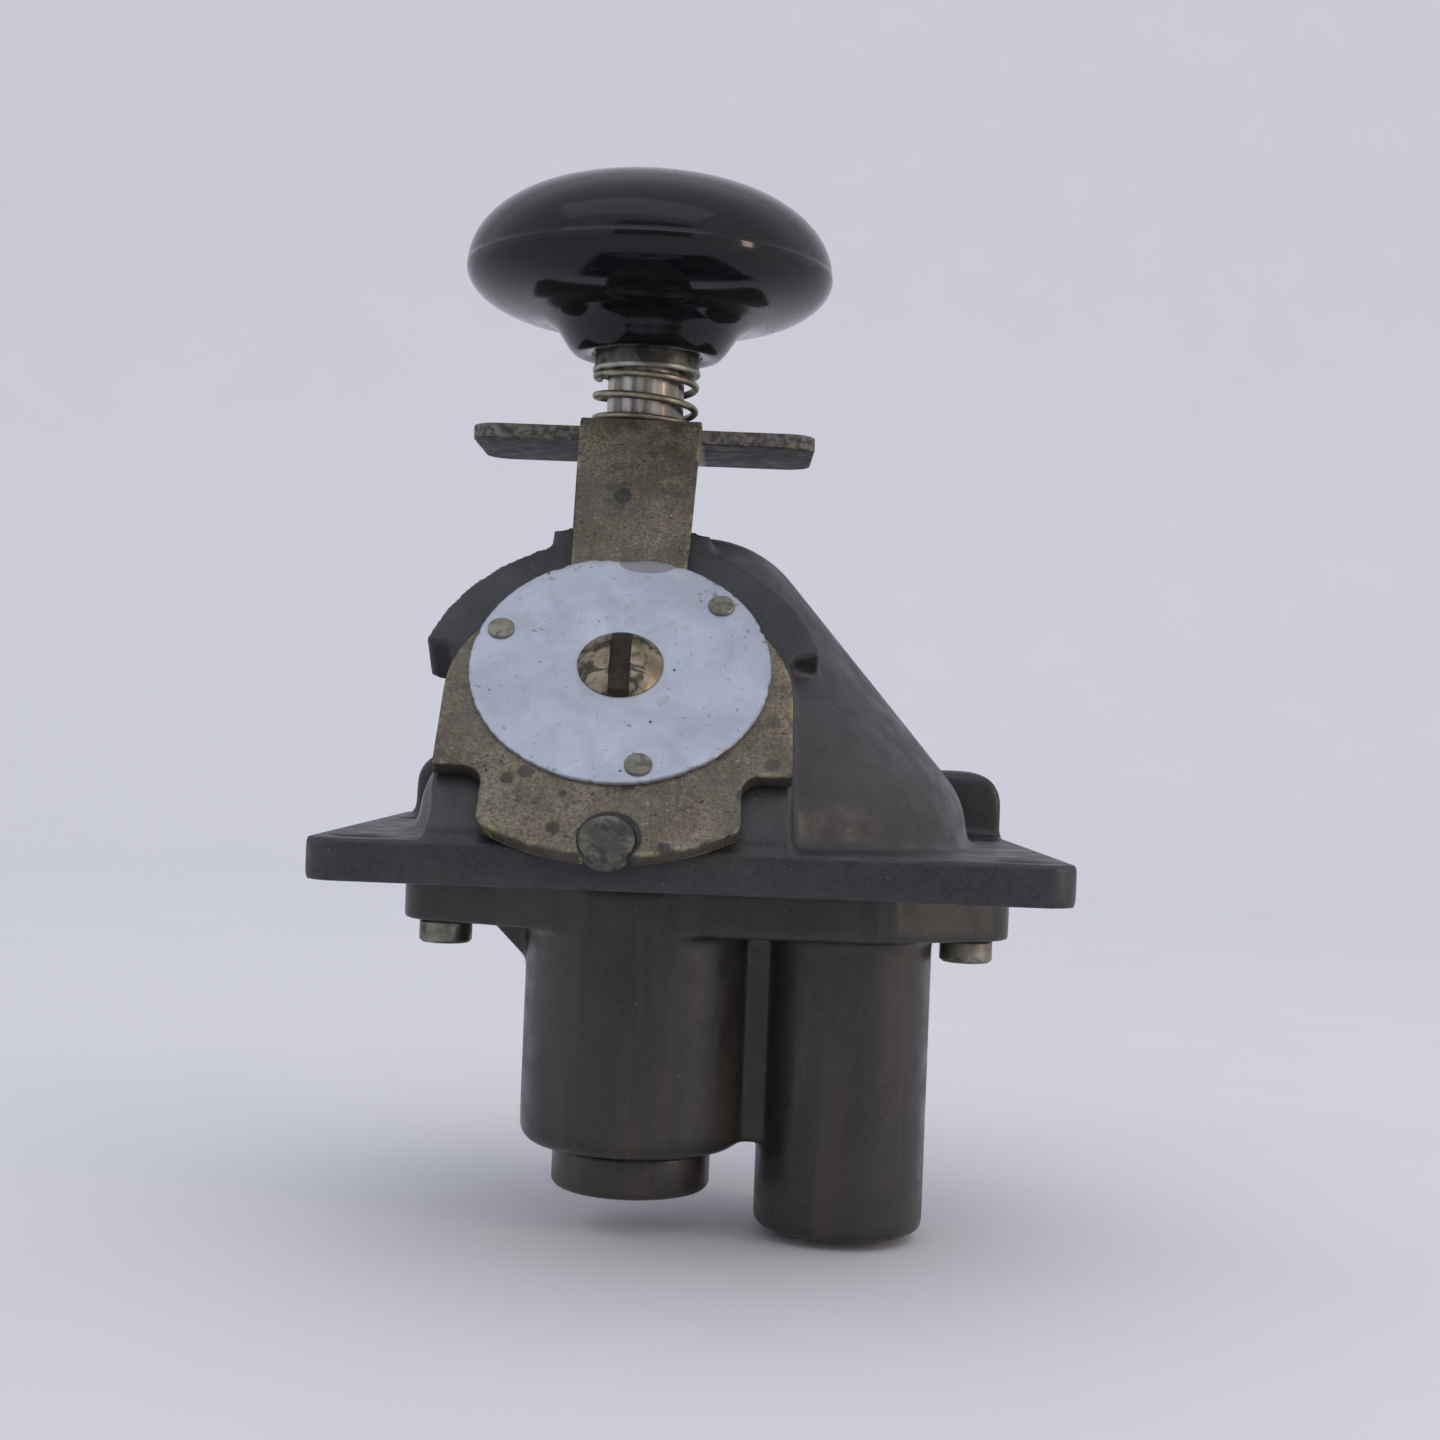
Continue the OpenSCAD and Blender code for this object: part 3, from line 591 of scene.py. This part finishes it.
def coil(name, centre, radius, wire, low, high, turns, start, node):
    """A left-handed wire spring that rises more slowly at its ends."""
    steps = int(turns * POINTS_PER_TURN)
    curve = bpy.data.curves.new(name, "CURVE")
    curve.dimensions = "3D"
    curve.bevel_depth = wire / 2
    curve.bevel_resolution = 5
    curve.use_fill_caps = True
    spline = curve.splines.new("POLY")
    spline.points.add(steps)
    for i, point in enumerate(spline.points):
        t = i / steps
        slower_ends = 0.3 * math.sin(2 * math.pi * t) / (2 * math.pi)
        angle = start - 2 * math.pi * turns * t
        point.co = (centre.x + radius * math.cos(angle), centre.y + radius * math.sin(angle),
                    low + wire / 2 + (high - low - wire) * (t - slower_ends), 1.0)
    work = in_scene(name + "_curve", curve)
    mesh = evaluated_mesh(work)
    bpy.data.objects.remove(work)
    return piece_from_mesh(name, mesh, node)


def pressed_coil(name, node, wire, top, turns, start):
    """A coil in the place of a CAD spring."""
    low, high = (Vector(corner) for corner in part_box(node))
    foot = Vector(((low.x + high.x) / 2, (low.y + high.y) / 2, low.z))
    piece = coil(name, foot, (high.x - low.x - wire) / 2, wire, low.z, top, turns, start, node)
    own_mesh(piece)


# ---------------------------------------------------------------- castings and machined pieces
def ramp(value, low, high):
    """A smooth change from 0 to 1 as the value goes from low to high."""
    t = min(max((value - low) / (high - low), 0.0), 1.0)
    return t * t * (3 - 2 * t)


def in_hub(point):
    """Up the incline and out of the disc from the lever's pivot, in millimetres."""
    offset = (point - hub_origin) / MM
    return offset.dot(hub_up), offset.dot(hub_normal)


def casting_blend(point):
    """1 where the housing's casting blends widely: around the foot of its dome, wall and hub."""
    x, y, z = point / MM
    up, out = in_hub(point)
    from_rim = min(x - flange_low[0] / MM, flange_high[0] / MM - x,
                   y - flange_low[1] / MM, flange_high[1] / MM - y)
    above_flange = ramp(z, 5.2, 6.2) * (1 - ramp(z, 19.0, 26.0))
    off_hub_face = 1 - ramp(out, -9.0, -4.5) * ramp(up, -27.0, -21.0)
    return above_flange * ramp(from_rim, 2.0, 5.0) * off_hub_face


cast("housing", "housing_casting", 5, casting_blend, 45)
cast("lower_body", "lower_casting", 6)
machined("lever", "stamped_lever", 0.32, 3, clamp=False)
machined("cylinder_cap", "round_cap", 0.5, 3)
machined("press_rod", "turned_rod", 0.12)
machined("body_screws", "cap_screws", 0.12)
machined("disc_rivets", "flush_rivets", 0.08)
machined("pivot_screw", "slotted_screw", 0.16)
machined("index_pin", "stub_pin", 0.2)


# ---------------------------------------------------------------- knob, cup, disc and springs
def smooth_curve(points):
    """Smooth curve through (radius, height) points."""
    out = []
    per_span = 8
    padded = [points[0]] + points + [points[-1]]
    for a, b, c, d in zip(padded, padded[1:], padded[2:], padded[3:]):
        for i in range(per_span):
            t = i / per_span
            out.append(tuple(0.5 * ((2 * q) + (r - p) * t + (2 * p - 5 * q + 4 * r - u) * t * t
                                    + (3 * q - p - 3 * r + u) * t ** 3)
                             for p, q, r, u in zip(a, b, c, d)))
    return out + [points[-1]]


def knob_piece():
    """Turned knob: cup recess, flared neck, full underside, fine parting edge and crown."""
    base, rim, crown = knob_low[2], PARTING_Z, knob_high[2]
    radius = half_width("knob")
    cup = half_width("spring_cup")
    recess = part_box("spring_cup")[1][2]
    outline = [(0.0, recess + 0.3 * MM), (cup + 0.15 * MM, recess + 0.3 * MM),
               (cup + 0.15 * MM, base + 0.3 * MM), (cup + 0.5 * MM, base)]
    neck = [(12.4, 0.0), (13.2, 0.3), (14.2, 1.3), (15.3, 2.9), (16.7, 4.8), (19.0, 6.3)]
    outline += smooth_curve([(out * MM, base + up * MM) for out, up in neck])
    belly, drop, belly_steps = 16.0 * MM, 8.8 * MM, 32
    for i in range(belly_steps + 1):
        angle = math.radians(-66 + 64 * i / belly_steps)
        outline.append((belly + (radius - belly) * math.cos(angle),
                        rim + drop * math.sin(angle)))
    outline += [(radius - 0.02 * MM, rim - 0.12 * MM), (radius - 0.02 * MM, rim + 0.05 * MM),
                (radius - 0.09 * MM, rim + 0.12 * MM)]
    crown_steps = 40
    for i in range(1, crown_steps + 1):
        angle = math.radians(1 + 89 * i / crown_steps)
        outline.append((max(0.0, (radius - 0.09 * MM) * math.cos(angle) ** 0.8),
                        rim + (crown - rim) * math.sin(angle)))
    outline[-1] = (0.0, crown)
    return lathe("push_knob", outline, rod_axis, "knob", 200)


def cup_piece():
    """Pressed cup over the spring's upper end, with a rolled lip."""
    outer = half_width("spring_cup") / MM
    bore = (half_width("press_rod") + 0.02 * MM) / MM
    outline = [(bore, 2.8), (8.45, 2.8), (8.6, 2.6), (8.6, 0.5), (8.75, 0.12), (9.1, 0.0),
               (outer - 0.3, 0.0), (outer - 0.06, 0.25), (outer, 0.6), (outer - 0.06, 0.95),
               (outer - 0.3, 1.2), (outer - 0.35, 3.4), (outer - 0.6, 3.9), (outer - 1.1, 4.0),
               (bore, 4.0), (bore, 2.8)]
    return lathe("pressed_cup", [(out * MM, cup_low + up * MM) for out, up in outline],
                 rod_axis, "spring_cup", 96)


def chipped_disc():
    """The round name disc with a nicked edge, in the hub's frame."""
    draw = random.Random(7)
    radius, thick, hole, lip = 23.35, 0.8, 3.2, 0.35
    # each chip: its place around the rim and its width in degrees, its depth in millimetres
    chips = [(92, 7.0, 0.75), (100, 3.0, 0.45), (84, 2.5, 0.35), (118, 2.2, 0.3),
             (70, 2.0, 0.25), (21, 1.6, 0.3), (-8, 1.4, 0.2), (166, 1.5, 0.25),
             (200, 1.2, 0.15), (-60, 1.6, 0.2)]
    chips += [(draw.uniform(0, 360), draw.uniform(0.8, 1.6), draw.uniform(0.05, 0.14))
              for _ in range(26)]
    rim = []
    for i in range(DISC_POINTS):
        degrees = 360 * i / DISC_POINTS
        cut = 0.02 * math.sin(i * 0.9) + 0.02
        for at, width, depth in chips:
            away = (degrees - at + 180) % 360 - 180
            cut = max(cut, depth * math.exp(-(away / width) ** 4))
        rim.append(radius - cut)
    bm = bmesh.new()
    rings = []
    # each ring: its distance in from the rim, or None for the hole's edge, and its height
    for inset, height in ((None, thick - 0.08), (None, thick), (6.0, thick), (1.4, thick),
                          (0.30, thick), (0.12, thick - 0.03), (0.0, thick - 0.14),
                          (0.0, 0.1), (0.1, 0.0), (None, 0.0)):
        hole_edge = hole + (lip if height == thick else 0.0)
        ring = []
        for i in range(DISC_POINTS):
            angle = 2 * math.pi * i / DISC_POINTS
            out = hole_edge if inset is None else rim[i] - inset
            local = Vector((out * math.cos(angle) * MM, out * math.sin(angle) * MM, height * MM))
            ring.append(bm.verts.new(hub_frame @ local))
        rings.append(ring)
    rings.append(rings[0])
    for low, high in zip(rings, rings[1:]):
        for i in range(DISC_POINTS):
            j = (i + 1) % DISC_POINTS
            bm.faces.new((low[i], low[j], high[j], high[i]))
    bmesh.ops.recalc_face_normals(bm, faces=bm.faces)
    return piece_from_mesh("chipped_disc", mesh_from(bm, "chipped_disc"), "name_disc")


knob_piece()
cup_piece()
chipped_disc()
pressed_coil("press_spring", "knob_spring", 1.3 * MM, cup_low + 0.3 * MM, 2.45, 5.65)
pressed_coil("return_spring", "relay_spring", 1.4 * MM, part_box("relay_spring")[1][2], 6, 0.0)
pressed_coil("cam_spring", "follower_spring", 1.6 * MM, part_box("follower_spring")[1][2], 2.5,
             0.0)


# ---------------------------------------------------------------- camera, light and ground
def look_camera():
    """A nearly level camera in front of the hub, rolled slightly about its own axis."""
    data = bpy.data.cameras.new("camera")
    data.lens = 50.0
    data.sensor_width = 36.0
    camera = in_scene("camera", data)
    tip, roll = -0.008, 0.039  # radians
    aside_mm, before_flange_mm, height_mm = 3.4, 291, 23.3
    forward = Vector((0, math.cos(tip), -math.sin(tip)))
    right = Vector((1, 0, 0))
    up = right.cross(forward)
    side = right * math.cos(roll) + up * math.sin(roll)
    over = -right * math.sin(roll) + up * math.cos(roll)
    matrix = Matrix((side, over, -forward)).transposed().to_4x4()
    matrix.translation = Vector((aside_mm, flange_low[1] / MM - before_flange_mm,
                                 height_mm)) * MM
    camera.matrix_world = matrix
    bpy.context.scene.camera = camera


def area_light(name, at, size, power, colour):
    """A soft rectangular light that faces the middle of the object."""
    data = bpy.data.lights.new(name, "AREA")
    data.shape = "RECTANGLE"
    data.size, data.size_y = size
    data.energy = power
    data.color = colour
    light = in_scene(name, data)
    light.location = at
    aim = Vector((0, 0, 0.03)) - Vector(at)
    light.rotation_euler = aim.to_track_quat("-Z", "Y").to_euler()


def ground():
    """A pale floor that sweeps up far behind the object."""
    floor_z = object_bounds()[0][2] - 1.5 * MM
    half_width_m, bend_start, bend, bend_steps = 1.8, 0.7, 0.5, 12
    profile = [(-1.6, 0.0), (bend_start, 0.0)]
    for i in range(1, bend_steps + 1):
        angle = i * math.pi / (2 * bend_steps)
        profile.append((bend_start + bend * math.sin(angle), bend - bend * math.cos(angle)))
    profile.append((bend_start + bend, 1.8))
    bm = bmesh.new()
    rows = [[bm.verts.new((x, y, floor_z + z)) for x in (-half_width_m, half_width_m)]
            for y, z in profile]
    for near, far in zip(rows, rows[1:]):
        bm.faces.new((near[0], near[1], far[1], far[0]))
    mesh = mesh_from(bm, "ground")
    shade_smooth(mesh)
    mesh.materials.append(pale_ground())
    in_scene("ground", mesh)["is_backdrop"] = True


def far_card(centre, size, colour):
    """A grey card that no camera sees, standing where the person with the camera stood."""
    bm = bmesh.new()
    bmesh.ops.create_grid(bm, x_segments=1, y_segments=1, size=0.5)
    mesh = mesh_from(bm, "far_card")
    obj = in_scene("far_card", mesh)
    obj.location, obj.scale = centre, (*size, 1.0)
    obj.rotation_euler = (math.pi / 2, 0.0, 0.0)
    material = bpy.data.materials.new("grey_card")
    material.use_nodes = True
    shader = material.node_tree.nodes["Principled BSDF"]
    shader.inputs["Base Color"].default_value = (*colour, 1.0)
    mesh.materials.append(material)
    obj.visible_camera = False
    obj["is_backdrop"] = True


def surroundings():
    """An even, pale overcast sky."""
    world = bpy.data.worlds.new("world")
    world.use_nodes = True
    background = world.node_tree.nodes["Background"]
    background.inputs["Color"].default_value = (0.80, 0.81, 0.88, 1.0)
    background.inputs["Strength"].default_value = 0.93
    bpy.context.scene.world = world


look_camera()
ground()
surroundings()
area_light("window", (-0.10, -0.42, 0.78), (1.15, 0.45), 0.8, (0.88, 0.94, 1.0))
area_light("warm_strip", (0.85, -0.45, 0.22), (0.12, 0.5), 1.6, (1.0, 0.72, 0.54))
far_card((0.08, -1.30, 0.42), (1.15, 0.90), (0.33, 0.32, 0.31))
bpy.context.scene.view_settings.view_transform = "Standard"
